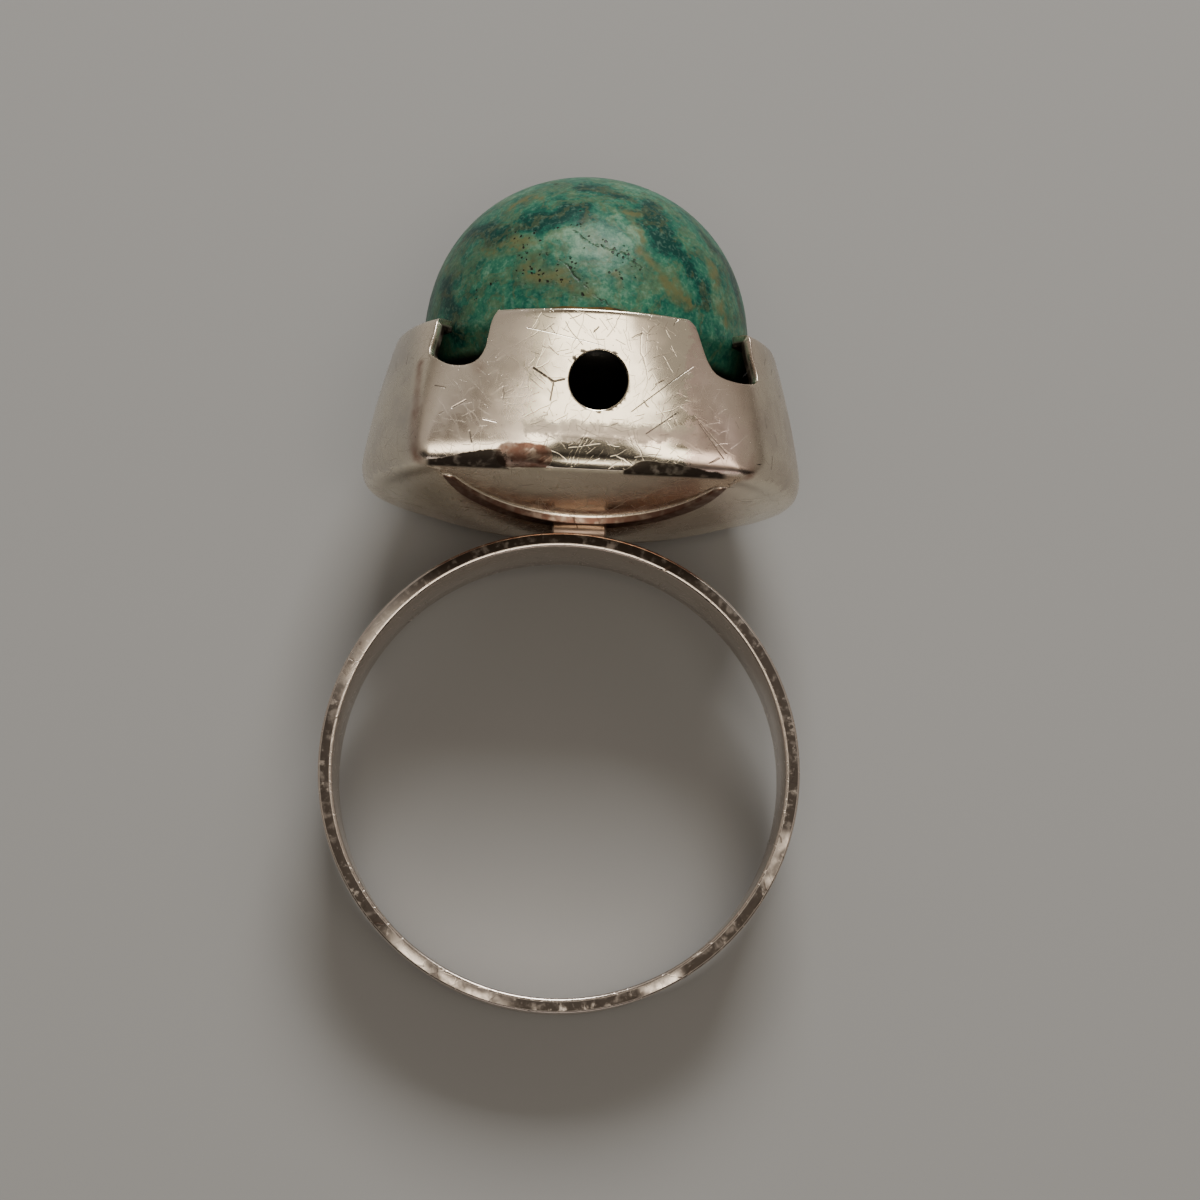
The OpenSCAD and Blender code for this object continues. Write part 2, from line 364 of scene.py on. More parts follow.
# painted shade: darker, browner silver for the tab between band and cup
tab_silver_painted_shade = worn_silver(
    "tab_silver_painted_shade", polish=(0.46, 0.37, 0.30, 1), tarnish=(0.22, 0.14, 0.10, 1),
    film=0.8, gloss=0.20, share=0.5,
)[0]
lay_piece("bridge_tab", tab, tab_silver_painted_shade, "silver_mount")


# Setting cup: sheet silver raised to a bell with a round mouth, its front and back pressed
# flat, a facet filed under each flat face, four notches sawn down from the mouth and a
# round port drilled in each face. It is soldered to the tab by its domed bottom.
CUP_TWIST = radians(1.5)
CUP_STEPS = 336
SHEET = 0.45
# Wall, from the mouth down: height above the bottom, radius at the sides, middle of the face
WALL = (
    (7.57, 6.70, 6.70), (7.57, 7.14, 7.00), (7.54, 7.36, 7.10), (7.42, 7.55, 7.12),
    (6.95, 7.71, 7.02), (6.15, 7.94, 6.84), (4.85, 8.27, 6.60), (3.65, 8.52, 6.38),
    (2.75, 8.68, 6.24), (2.35, 8.71, 6.18), (2.00, 8.65, 6.06), (1.75, 8.53, 5.90),
    (1.60, 8.35, 5.74),
)
# Rounded rim and domed bottom: height, radius, and the most that it reaches under a face
FOOT = (
    (1.48, 8.05, 5.50), (1.41, 7.65, 5.40), (1.18, 7.0, 5.22), (0.865, 6.0, 4.95),
    (0.60, 5.0, 4.68), (0.385, 4.0, 4.4), (0.216, 3.0, 4.2), (0.096, 2.0, 4.0),
    (0.024, 1.0, 3.8), (0.0, 0.02, 3.6),
)
WALL_STEP = 0.14
FOOT_STEP = 0.19
# Pressed faces: half width, and its share of the radius where the cup is narrower. Then the
# reach of the corners' rounding by height, and more of it to each face's right
FACE_HALF = 6.45
FACE_SHARE = 0.72
CORNER_REACH = ((1.6, 2.6, 5.0), (0.20, 0.30, 0.42))
RIGHT_REACH = ((3.5, 6.0), (0, 0.7))
RIGHT_REACH_BY_HEIGHT = ((1.6, 2.2, 6.6, 7.3), (0.1, 1, 1, 0))
# Worn flat below the port: depth, half width and how much of the depth at each height
FLAT_DEPTH = 0.17
FLAT_HALF = 2.3
FLAT_BY_HEIGHT = ((1.60, 1.75, 2.0, 2.35, 2.85), (0, 0.5, 1, 0.75, 0))
# Facet: a plane that rises from the middle to the crease, inside an arc seen from below
CREASE_Z = 1.62
CREASE_Y = 5.78
FACET_SLOPE = 0.325
FACET_ARC_R = 6.12
FACET_ARC_Y = 2.25
FACET_FLANK = 4.9
NOTCH_R = 7.05
NOTCH_TURN = radians(40)
NOTCH_STEP = 0.12
# Notches, seen from the front: distance from the middle, depth below the mouth
RIGHT_NOTCH = (
    (3.35, -0.30), (3.60, 0.10), (3.76, 0.30), (3.90, 0.70), (4.03, 1.15), (4.20, 1.68),
    (4.45, 2.08), (4.90, 2.24), (5.45, 2.22), (5.87, 1.93), (5.84, 0.70), (5.86, -0.30),
)
LEFT_NOTCH = (
    (3.30, -0.30), (3.55, 0.17), (3.68, 0.55), (3.76, 1.12), (3.84, 1.55), (4.05, 1.98),
    (4.42, 2.17), (4.85, 2.12), (5.25, 1.85), (5.58, 1.50), (5.58, 0.60), (5.66, -0.30),
)
PORT = (0.3, -6.6, 4.92)
PORT_AXIS = (0, -0.983, -0.183)
PORT_R = 1.13
# A distance beyond every cut, for points on the other side of the cup
FAR = 9.0
# Broken edges: which count as a port's, widths there and elsewhere, and the least turn
AT_PORT = 0.06
PORT_EDGE = 0.055
CUT_EDGE = 0.03
SHARP = radians(40)
# How near to a cut a point moves onto it, the distances at which points become one, and the
# length of an edge too short to keep
SNAP = 0.045
SAME = 0.0005
SAME_AT_FACET = 0.012
TOO_SHORT = 0.0001


def smooth_table(rows, step):
    """A table's rows joined by a smooth curve, with a new row about every step."""
    rows = np.array(rows, float)
    before, after = 2 * rows[0] - rows[1], 2 * rows[-1] - rows[-2]
    ends = np.vstack([before, rows, after])
    out = []
    for a, b, c, d in zip(ends[:-3], ends[1:-2], ends[2:-1], ends[3:]):
        pieces = max(1, round(np.linalg.norm((c - b)[:2]) / step))
        for k in range(pieces):
            t = k / pieces
            out.append(0.5 * (2 * b + (c - a) * t + (2 * a - 5 * b + 4 * c - d) * t * t
                              + (3 * b - a - 3 * c + d) * t ** 3))
    return np.array(out + [rows[-1]])


def outline_distance(points, outline):
    """Distance of 2-D points to a closed outline, below 0 inside it."""
    nearest = np.full(len(points), 1e9)
    inside = np.zeros(len(points), bool)
    for a, b in zip(outline, np.roll(outline, -1, 0)):
        run, rel = b - a, points - a
        t = np.clip(rel @ run / (run @ run), 0, 1)
        nearest = np.minimum(nearest, np.linalg.norm(rel - t[:, None] * run, axis=1))
        crosses = (a[1] > points[:, 1]) != (b[1] > points[:, 1])
        with np.errstate(divide="ignore", invalid="ignore"):
            at = a[0] + (points[:, 1] - a[1]) / (b[1] - a[1]) * (b[0] - a[0])
        inside ^= crosses & (points[:, 0] < at)
    return np.where(inside, -nearest, nearest)


def notch_distance(points, outline, side):
    """Distance from a notch as filed square to the wall, below 0 inside it."""
    turn = side * NOTCH_TURN
    out = smooth_table(outline, NOTCH_STEP)
    along = out[:, 0] * cos(NOTCH_TURN) - np.sqrt(NOTCH_R ** 2 - out[:, 0] ** 2) * sin(NOTCH_TURN)
    flat = np.stack([side * along, WALL[0][0] - out[:, 1]], 1)
    seen = np.stack([points[:, 0] * cos(turn) + points[:, 1] * sin(turn), points[:, 2]], 1)
    ahead = points[:, 0] * sin(turn) - points[:, 1] * cos(turn)
    return np.where(ahead < 2, FAR, outline_distance(seen, flat))


def port_distance(points):
    """Distance from the front port as drilled through the wall, below 0 inside it."""
    axis = np.array(PORT_AXIS)
    rel = points - np.array(PORT)
    off = rel - (rel @ axis)[:, None] * axis
    return np.where(points[:, 1] > 0, FAR, np.linalg.norm(off, axis=1) - PORT_R)


def openings_distance(points):
    """Distance from the nearest notch or port, in front and, turned by half, behind."""
    found = np.full(len(points), FAR)
    for turned in (points, points * (-1, -1, 1)):
        for distance in (
            notch_distance(turned, RIGHT_NOTCH, 1), notch_distance(turned, LEFT_NOTCH, -1),
            port_distance(turned),
        ):
            found = np.minimum(found, distance)
    return found


def facet_height(points):
    return CREASE_Z - (CREASE_Y - np.abs(points[:, 1])) * FACET_SLOPE


def arc_distance(points):
    return np.hypot(points[:, 0], np.abs(points[:, 1]) - FACET_ARC_Y - FACET_ARC_R) - FACET_ARC_R


def facet_distance(points):
    """Below 0 where the file takes the facet: under its plane, inside the arc or the flank."""
    sides = np.minimum(arc_distance(points), FACET_FLANK - np.abs(points[:, 1]))
    return np.maximum(points[:, 2] - facet_height(points), sides)


def pressed_flat(co, rows):
    """The round cup's points as pressed: shallow arcs in front and behind, with soft corners."""
    radius = np.hypot(co[:, 0], co[:, 1])
    off_row = (np.abs(rows[:, 0] - h) + np.abs(rows[:, 1] - r) for h, r in zip(co[:, 2], radius))
    face = rows[[np.argmin(off) for off in off_row], 2]
    corner = np.minimum(FACE_HALF, FACE_SHARE * np.maximum(radius, 0.1))
    corner_y = np.sqrt(np.maximum(radius ** 2 - corner ** 2, 0))
    bulge = np.maximum(face - corner_y, 0.01)
    arc_r = (corner ** 2 + bulge ** 2) / (2 * bulge)
    # past its corner the arc runs on outside the round wall, which falls away faster
    sideways = np.minimum(np.abs(co[:, 0]), corner * 1.3)
    limit = face - arc_r + np.sqrt(np.maximum(arc_r ** 2 - sideways ** 2, 0))

    to_right = -co[:, 0] * np.sign(co[:, 1])
    reach = np.interp(co[:, 2], *CORNER_REACH)
    reach += np.interp(to_right, *RIGHT_REACH) * np.interp(co[:, 2], *RIGHT_REACH_BY_HEIGHT)
    deep = np.abs(co[:, 1])
    over = deep - limit
    soft = deep - np.where(over > -reach, (np.maximum(over + reach, 0)) ** 2 / (4 * reach), 0)
    pressed = np.where(face < radius, np.where(over > reach, limit, soft), deep)

    flat = FLAT_DEPTH * np.exp(-((np.abs(co[:, 0] - PORT[0]) / FLAT_HALF) ** 4))
    flat *= np.interp(co[:, 2], *FLAT_BY_HEIGHT)
    pressed = np.sign(co[:, 1]) * (pressed - np.where(deep > 4, flat, 0))
    return np.stack([co[:, 0], pressed, co[:, 2]], 1)


def slope_at(distance, points, step=0.001):
    """How fast the distance grows along x, y and z."""
    steps = np.eye(3) * step
    return np.stack([(distance(points + d) - distance(points - d)) / (2 * step) for d in steps], 1)


def cut_along(bm, distance, snap):
    """Cuts the faces along distance 0, and returns the faces on the side below 0."""
    mark = bm.verts.layers.float.new("level")
    bm.normal_update()
    verts = list(bm.verts)
    co = np.array([v.co for v in verts])
    value = distance(co)
    # points near the cut move onto it along the surface, and not far where it runs shallow
    near = np.abs(value) < snap
    slope = slope_at(distance, co[near])
    normal = np.array([v.normal for v in verts])[near]
    slope -= (slope * normal).sum(1)[:, None] * normal
    steep = np.maximum((slope ** 2).sum(1), 0.2)
    co[near] -= (value[near] / steep)[:, None] * slope
    value[near] = 0
    for index in np.flatnonzero(near):
        verts[index].co = co[index]
    for vert, v in zip(verts, value):
        vert[mark] = v
    for edge in list(bm.edges):
        a, b = (vert[mark] for vert in edge.verts)
        if a * b < 0:
            first = edge.verts[0]
            _, made = bmesh.utils.edge_split(edge, first, a / (a - b))
            made[mark] = 0
    for face in list(bm.faces):
        on = [v for v in face.verts if v[mark] == 0]
        sides = [v[mark] for v in face.verts]
        if len(on) != 2 or not min(sides) < 0 < max(sides):
            continue
        if not any(set(e.verts) == set(on) for e in face.edges):
            bmesh.utils.face_split(face, on[0], on[1])
    below = [f for f in bm.faces if sum(v[mark] for v in f.verts) < 0]
    bm.verts.layers.float.remove(mark)
    return below


def steady_order(bm):
    """Sorts the mesh by place, because extruding leaves it in another order on each run."""
    verts = list(bm.verts)
    places = np.array([v.co for v in verts])
    for index, at in enumerate(np.lexsort(places.T)):
        verts[at].index = index
    bm.verts.sort()
    for parts in (bm.edges, bm.faces):
        by_place = sorted(parts, key=lambda part: sorted(v.index for v in part.verts))
        for index, part in enumerate(by_place):
            part.index = index
        parts.sort()


cup = bmesh.new()
rows = np.vstack([smooth_table(WALL, WALL_STEP), smooth_table(FOOT, FOOT_STEP)])
spine = [cup.verts.new((r, 0, h)) for h, r, _ in rows]
for upper, lower in zip(spine, spine[1:]):
    cup.edges.new((upper, lower))
bmesh.ops.spin(
    cup, geom=list(cup.verts) + list(cup.edges), cent=(0, 0, 0), axis=(0, 0, 1),
    angle=2 * pi, steps=CUP_STEPS, use_merge=True,
)
bmesh.ops.remove_doubles(cup, verts=cup.verts, dist=SAME)
round_cup = np.array([v.co for v in cup.verts])
for vert, place in zip(cup.verts, pressed_flat(round_cup, rows)):
    vert.co = place

# filing: the sheet inside the facet's outline is moved up to its plane, which leaves a step
filed = cut_along(cup, facet_distance, SNAP)
raised = bmesh.ops.extrude_face_region(cup, geom=filed)["geom"]
bmesh.ops.delete(cup, geom=[f for f in filed if f.is_valid], context="FACES")
moved = [g for g in raised if isinstance(g, bmesh.types.BMVert)]
plane = facet_height(np.array([v.co for v in moved]))
for vert, h in zip(moved, plane):
    vert.co.z = h
steady_order(cup)
bmesh.ops.remove_doubles(cup, verts=cup.verts, dist=SAME_AT_FACET)
bmesh.ops.delete(cup, geom=[v for v in cup.verts if not v.link_faces], context="VERTS")

# sawing and drilling, then the sheet's thickness and the broken edges
cut_out = cut_along(cup, openings_distance, SNAP)
bmesh.ops.delete(cup, geom=cut_out, context="FACES")
bmesh.ops.recalc_face_normals(cup, faces=cup.faces)
# black oxide on the cup's inside, running across the sawn and drilled edges, where it is also painted shade
oxide_and_painted_shade = cup.verts.layers.float.new("oxide_and_painted_shade")
inner = bmesh.ops.solidify(cup, geom=list(cup.faces), thickness=SHEET)["geom"]
for vert in (g for g in inner if isinstance(g, bmesh.types.BMVert)):
    vert[oxide_and_painted_shade] = 1
bmesh.ops.recalc_face_normals(cup, faces=cup.faces)
sharp = [e for e in cup.edges if e.is_manifold and e.calc_face_angle() > SHARP]
middles = np.array([(e.verts[0].co + e.verts[1].co) / 2 for e in sharp])
to_port = np.minimum(port_distance(middles), port_distance(middles * (-1, -1, 1)))
at_port = to_port < AT_PORT
for chosen, worn_off in ((at_port, PORT_EDGE), (~at_port, CUT_EDGE)):
    edges = [e for e, kept in zip(sharp, chosen) if kept]
    bmesh.ops.bevel(
        cup, geom=edges, offset=worn_off, segments=2, profile=0.5, affect="EDGES", material=-1,
        clamp_overlap=False,
    )
bmesh.ops.dissolve_degenerate(cup, dist=TOO_SHORT, edges=cup.edges)

# where the step round the facet is painted copper-brown, a painted reflection of the dark brown it mirrors:
# along its arc, and only under the facet's plane
tint = cup.verts.layers.float.new("tint")
co = np.array([v.co for v in cup.verts])
under_plane = np.clip((facet_height(co) - co[:, 2] - 0.03) / 0.05, 0, 1)
step_tint = np.clip(1.3 - np.abs(arc_distance(co)) / 0.6, 0, 1) * under_plane
for vert, value in zip(cup.verts, step_tint):
    vert[tint] = value
bmesh.ops.rotate(cup, cent=(0, 0, 0), matrix=Matrix.Rotation(CUP_TWIST, 3, "Z"), verts=cup.verts)
bmesh.ops.translate(cup, vec=(0, 0, CUP_Z), verts=cup.verts)

# Marks on the front face: distance to the right and height of both ends, half width
SCRATCHES = (
    ((1.6, 3.8), (3.9, 5.7), 0.022), ((-2.5, 6.8), (0.4, 6.2), 0.022),
    ((-2.2, 5.3), (-1.4, 4.8), 0.05), ((-1.4, 4.8), (-1.0, 4.9), 0.05),
    ((-1.4, 4.8), (-1.5, 4.1), 0.04), ((-5.2, 3.7), (-4.7, 4.0), 0.06),
    ((-4.5, 2.8), (-4.4, 2.4), 0.05), ((-4.0, 3.3), (-3.5, 3.2), 0.04),
    ((4.0, 3.8), (5.3, 2.4), 0.03), ((4.2, 3.5), (5.2, 2.2), 0.03),
    ((-5.9, 4.6), (-5.5, 4.5), 0.04), ((2.2, 3.0), (3.4, 3.9), 0.03),
)
# A worn line on the left corner: its two ends, as points, and half its width
CORNER_MARK = ((-6.35, -4.8, 5.5), (-6.45, -5.6, 2.4), 0.09)
# Copper-brown creases, and the copper patch under the face that is a painted reflection, written in the
# same way
CREASES = (
    ((-6.4, -4.7, 5.6), (-6.45, -5.3, 3.6), 0.4), ((-6.45, -5.3, 3.6), (-6.4, -5.6, 1.8), 0.5),
    ((6.2, -5.6, 1.7), (6.2, -5.5, 2.4), 0.4), ((-5.3, -5.0, 6.0), (-4.2, -5.9, 5.3), 0.5),
)
COPPER_REFLECTION_PATCH = ((-3.0, -5.95, 2.0), (-1.8, -6.05, 1.95), 0.9)
# Where things start on either face and where they are full: to its right, then in depth
# from the cup's middle, then in height above its bottom
RUBBED_LEFT = (-2.5, -2.25)
RUBBED_RIGHT = (3.9, 3.6)
LEFT_CORNER = (-6.2, -7.0)
RIGHT_CORNER = (5.6, 7.0)
LEFT_TO_RIGHT_FILM = (-1.5, 4.0)
ON_FACE = (5.2, 5.7)
UNDER_FACE = (5.4, 5.6)
BELOW_PORT = (2.55, 2.75, 3.3, 3.1)
# Heights of the painted dark band below the port, a painted reflection
PAINTED_DARK_BAND = (2.65, 2.85, 3.45, 3.25)
LOWER_EDGE = (1.75, 1.6)
WEDGE_FOOT = 1.66

cup_silver, tree, wear, place = worn_silver(
    "cup_silver", polish=(0.96, 0.86, 0.66, 1), tarnish=(0.6, 0.5, 0.42, 1),
    film=0.9, gloss=0.10, share=0.85,
)
own = {"Vector": place, "Rotation": (0, 0, -CUP_TWIST), "Location": (0, 0, -CUP_Z)}
own = node(tree, "Mapping", own).outputs[0]
axes = node(tree, "SeparateXYZ", {0: own}).outputs
height = axes[2]
front = math_node(tree, "LESS_THAN", axes[1], 0.0)
flat = node(tree, "CombineXYZ", {0: axes[0], 2: height}).outputs[0]
marks = most(tree, [
    streak(tree, flat, (a[0], 0, a[1]), (b[0], 0, b[1]), w) for a, b, w in SCRATCHES
])
corner = product(tree, streak(tree, own, *CORNER_MARK), 0.85)
tree.links.new(most(tree, [product(tree, marks, front), corner]), wear["Marks"])

# the same place on either face, seen from outside: to the right, depth and height, and
# ragged forms of the first and the last, for edges that aren't straight
deep = math_node(tree, "ABSOLUTE", axes[1])
to_right = product(tree, axes[0], math_node(tree, "MULTIPLY_ADD", front, 2.0, -1.0))
turned = node(tree, "CombineXYZ", {0: to_right, 1: product(tree, deep, -1.0), 2: height}).outputs[0]
ragged = node(tree, "SeparateColor", {0: noise(tree, place, 2.0, 6.0, 0.75)["Color"]}).outputs


def ragged_form(value, channel, reach):
    shift = math_node(tree, "SUBTRACT", ragged[channel], 0.5)
    return math_node(tree, "MULTIPLY_ADD", shift, reach, value)


across = ragged_form(to_right, 0, 2.6)
up = ragged_form(height, 1, 1.2)

# thin film all over, rubbed off round the port; its colour is painted lighter to the left of each face and
# darker towards its corners, a painted reflection on the film
below_port = product(tree, span(tree, up, *BELOW_PORT[:2]), span(tree, up, *BELOW_PORT[2:]))
rubbed = product(
    tree, span(tree, across, *RUBBED_LEFT), span(tree, across, *RUBBED_RIGHT),
    span(tree, deep, *ON_FACE), math_node(tree, "SUBTRACT", 1.0, below_port),
)
rubbed = most(tree, [rubbed, span(tree, up, *LOWER_EDGE, 0.0, 0.45)])
tree.links.new(math_node(tree, "MULTIPLY_ADD", rubbed, -0.92, 1.0), wear["Film"])
# painted reflection: film colours lighter on the left, darker on the right and towards the corners
left_film_and_reflection = mix_colour(
    tree, span(tree, to_right, *LEFT_CORNER), (0.95, 0.82, 0.68, 1), (0.58, 0.53, 0.47, 1),
)
right_film_and_reflection = mix_colour(
    tree, span(tree, to_right, *RIGHT_CORNER), (0.72, 0.55, 0.46, 1), (0.54, 0.46, 0.38, 1),
)
film = mix_colour(tree, span(tree, to_right, *LEFT_TO_RIGHT_FILM), left_film_and_reflection, right_film_and_reflection)
tree.links.new(film, wear["Tarnish"])

# copper-brown on the creases; on the step round the facet and on one patch under each face it is painted
# reflection
copper = streak(tree, turned, *COPPER_REFLECTION_PATCH)
copper = span(tree, math_node(tree, "MULTIPLY_ADD", ragged[2], 0.5, copper), 0.60, 0.75)
step = span(tree, node(tree, "Attribute", attribute_name="tint").outputs["Fac"], 0.12, 0.30)
creases = [streak(tree, turned, *crease) for crease in CREASES]
tree.links.new(most(tree, [step, copper, *creases]), wear["Tint"])

# black: painted reflection in a wedge under either end of each face's lower edge and in a dark band below
# the port, where the rolled edge mirrors dark; and black oxide on all of the cup's inside, which on the
# sawn and drilled edges is also painted shade
# painted reflection: black wedges under the ends of each face's lower edge
left_wedge = product(
    tree, span(tree, to_right, -6.6, -3.4, 0.0, 0.55), span(tree, across, -2.7, -3.3),
)
right_wedge = product(
    tree, span(tree, to_right, 6.1, 2.4, 0.0, 0.36), span(tree, to_right, 1.2, 2.2),
)
wedges = most(tree, [left_wedge, right_wedge])
wedge_top = math_node(tree, "ADD", wedges, WEDGE_FOOT)
below_top = math_node(tree, "SUBTRACT", wedge_top, ragged_form(height, 2, 0.25))
undercut = product(
    tree, span(tree, below_top, 0.0, 0.05), span(tree, deep, *UNDER_FACE),
    span(tree, wedges, 0.02, 0.06, 0.0, 0.97),
)
# painted reflection: a dark band below the port
painted_dark_band = product(
    tree, span(tree, up, *PAINTED_DARK_BAND[:2]), span(tree, up, *PAINTED_DARK_BAND[2:]),
    span(tree, across, -2.6, -2.2), span(tree, across, 4.3, 3.7, 0.0, 0.42),
)
# black oxide inside the cup, and painted shade on the sawn and drilled edges
inside = span(tree, node(tree, "Attribute", attribute_name="oxide_and_painted_shade").outputs["Fac"], 0.40, 0.70)
# painted reflection: the copper-brown step and patch are darkened too
painted_dark_reflection = product(tree, most(tree, [step, copper]), 0.45)
tree.links.new(most(tree, [inside, undercut, painted_dark_band, painted_dark_reflection]), wear["Oxide_and_painted_shade"])
lay_piece("setting_cup", cup, cup_silver, "silver_mount")


# Cabochon: a round green feldspar with a high dome, cut flat below with a rounded edge and
# polished to a satin gloss. It stands in the cup's mouth, held by cement.
STONE_R = 6.52
STONE_BASE = 5.75
STONE_WIDEST = 7.2
STONE_TOP = 14.5
STONE_STEPS = 180
DOME_STEPS = 60
FULLNESS = 2.35
# Rounded lower edge: share of the stone's radius, height above its base
EDGE = ((0.77, 0.0), (0.86, 0.07), (0.92, 0.28), (0.96, 0.68), (0.985, 1.3))

stone = bmesh.new()
curve = [(share * STONE_R, STONE_BASE + rise) for share, rise in EDGE]
for k in range(DOME_STEPS + 1):
    a = radians(90 * k / DOME_STEPS)
    rise = (STONE_TOP - STONE_WIDEST) * sin(a) ** (2 / FULLNESS)
    curve.append((max(STONE_R * cos(a), 0.0), STONE_WIDEST + rise))
side = [stone.verts.new((r, 0, h)) for r, h in curve]
for lower, upper in zip(side, side[1:]):
    stone.edges.new((lower, upper))
bmesh.ops.spin(
    stone, geom=list(stone.verts) + list(stone.edges), cent=(0, 0, 0), axis=(0, 0, 1),
    angle=2 * pi, steps=STONE_STEPS, use_merge=True,
)
bmesh.ops.remove_doubles(stone, verts=stone.verts, dist=SAME)
bmesh.ops.holes_fill(stone, edges=[e for e in stone.edges if e.is_boundary], sides=0)
bmesh.ops.rotate(stone, cent=(0, 0, 0), matrix=Matrix.Rotation(CUP_TWIST, 3, "Z"), verts=stone.verts)
bmesh.ops.translate(stone, vec=(0, 0, CUP_Z), verts=stone.verts)

# Marks in the stone: turn from the front in degrees, to the right, and height of both ends
# above the cup's bottom, with the half width of the streak in mm
DEEP_TEAL = (
    ((-42, 11.0), (-6, 11.5), 1.1), ((-62, 10.9), (-40, 11.2), 1.0), ((28, 12.4), (33, 10.6), 0.9),
    ((33, 10.6), (44, 8.4), 0.8), ((-4, 13.2), (22, 12.8), 0.8), ((-60, 9.0), (-50, 7.6), 1.1),
    ((60, 11.5), (75, 9.0), 1.0),
)
TAN = (
    ((-64, 10.1), (-42, 10.2), 0.6), ((-42, 10.2), (-23, 10.6), 0.6), ((-24, 9.6), (-14, 9.2), 1.0),
    ((-10, 8.8), (0, 8.2), 0.8), ((-17, 13.0), (6, 11.9), 0.5), ((8, 11.9), (21, 12.1), 0.4),
    ((21, 12.1), (22, 10.7), 0.4), ((18, 10.3), (25, 9.3), 0.6), ((25, 9.3), (35, 8.1), 0.5),
    ((47, 10.6), (55, 8.2), 0.6), ((-41, 12.4), (-26, 12.6), 0.5), ((11, 9.2), (12, 9.0), 0.4),
)
MINT = (
    ((-21, 10.5), (10, 10.4), 0.9), ((-7, 10.0), (2, 8.8), 1.1), ((12, 11.6), (19, 10.9), 0.8),
    ((46, 8.4), (54, 7.6), 0.7), ((-8, 11.2), (-10, 10.6), 0.6),
)
PITTED = (
    ((-25, 9.6), (-12, 9.4), 1.1), ((-14, 9.8), (-3, 8.3), 0.8), ((-8, 11.0), (16, 9.6), 0.55),
    ((10, 9.2), (13, 9.0), 0.5), ((-44, 8.7), (-38, 8.5), 0.7), ((-30, 10.6), (-18, 10.9), 0.6),
)
CRACK = 0.075
CRACKS = (
    ((-8, 11.1), (-1, 10.4), CRACK), ((-1, 10.4), (12, 10.0), CRACK), ((12, 10.0), (18, 9.5), CRACK),
    ((-11, 9.7), (-5, 9.0), CRACK), ((-5, 9.0), (0, 8.4), CRACK), ((0, 8.4), (6, 7.9), CRACK),
)
LONE_PIT = (((-25, 13.5), (-25, 13.5), 0.16),)
# The greens by their place in the clouds, the colours of what lies on them, and a painted shade low in the
# cup
GREENS = (
    (0.34, (0.002, 0.038, 0.029, 1)), (0.45, (0.006, 0.084, 0.056, 1)),
    (0.56, (0.032, 0.142, 0.085, 1)), (0.74, (0.18, 0.31, 0.20, 1)),
)
PALE_GREEN = (0.13, 0.23, 0.17, 1)
TAN_BROWN = (0.120, 0.116, 0.045, 1)
HOLE_BLACK = (0.010, 0.012, 0.007, 1)
SHADE_IN_THE_CUP = (0.012, 0.011, 0.009, 1)


def on_stone(turn, height):
    """The point of the polished dome at a turn and a height, in the standing ring's mm."""
    share = min(max((height - STONE_WIDEST) / (STONE_TOP - STONE_WIDEST), 0), 1)
    r = STONE_R * (1 - share ** FULLNESS) ** 0.5
    return r * sin(radians(turn)), -r * cos(radians(turn)), CUP_Z + height


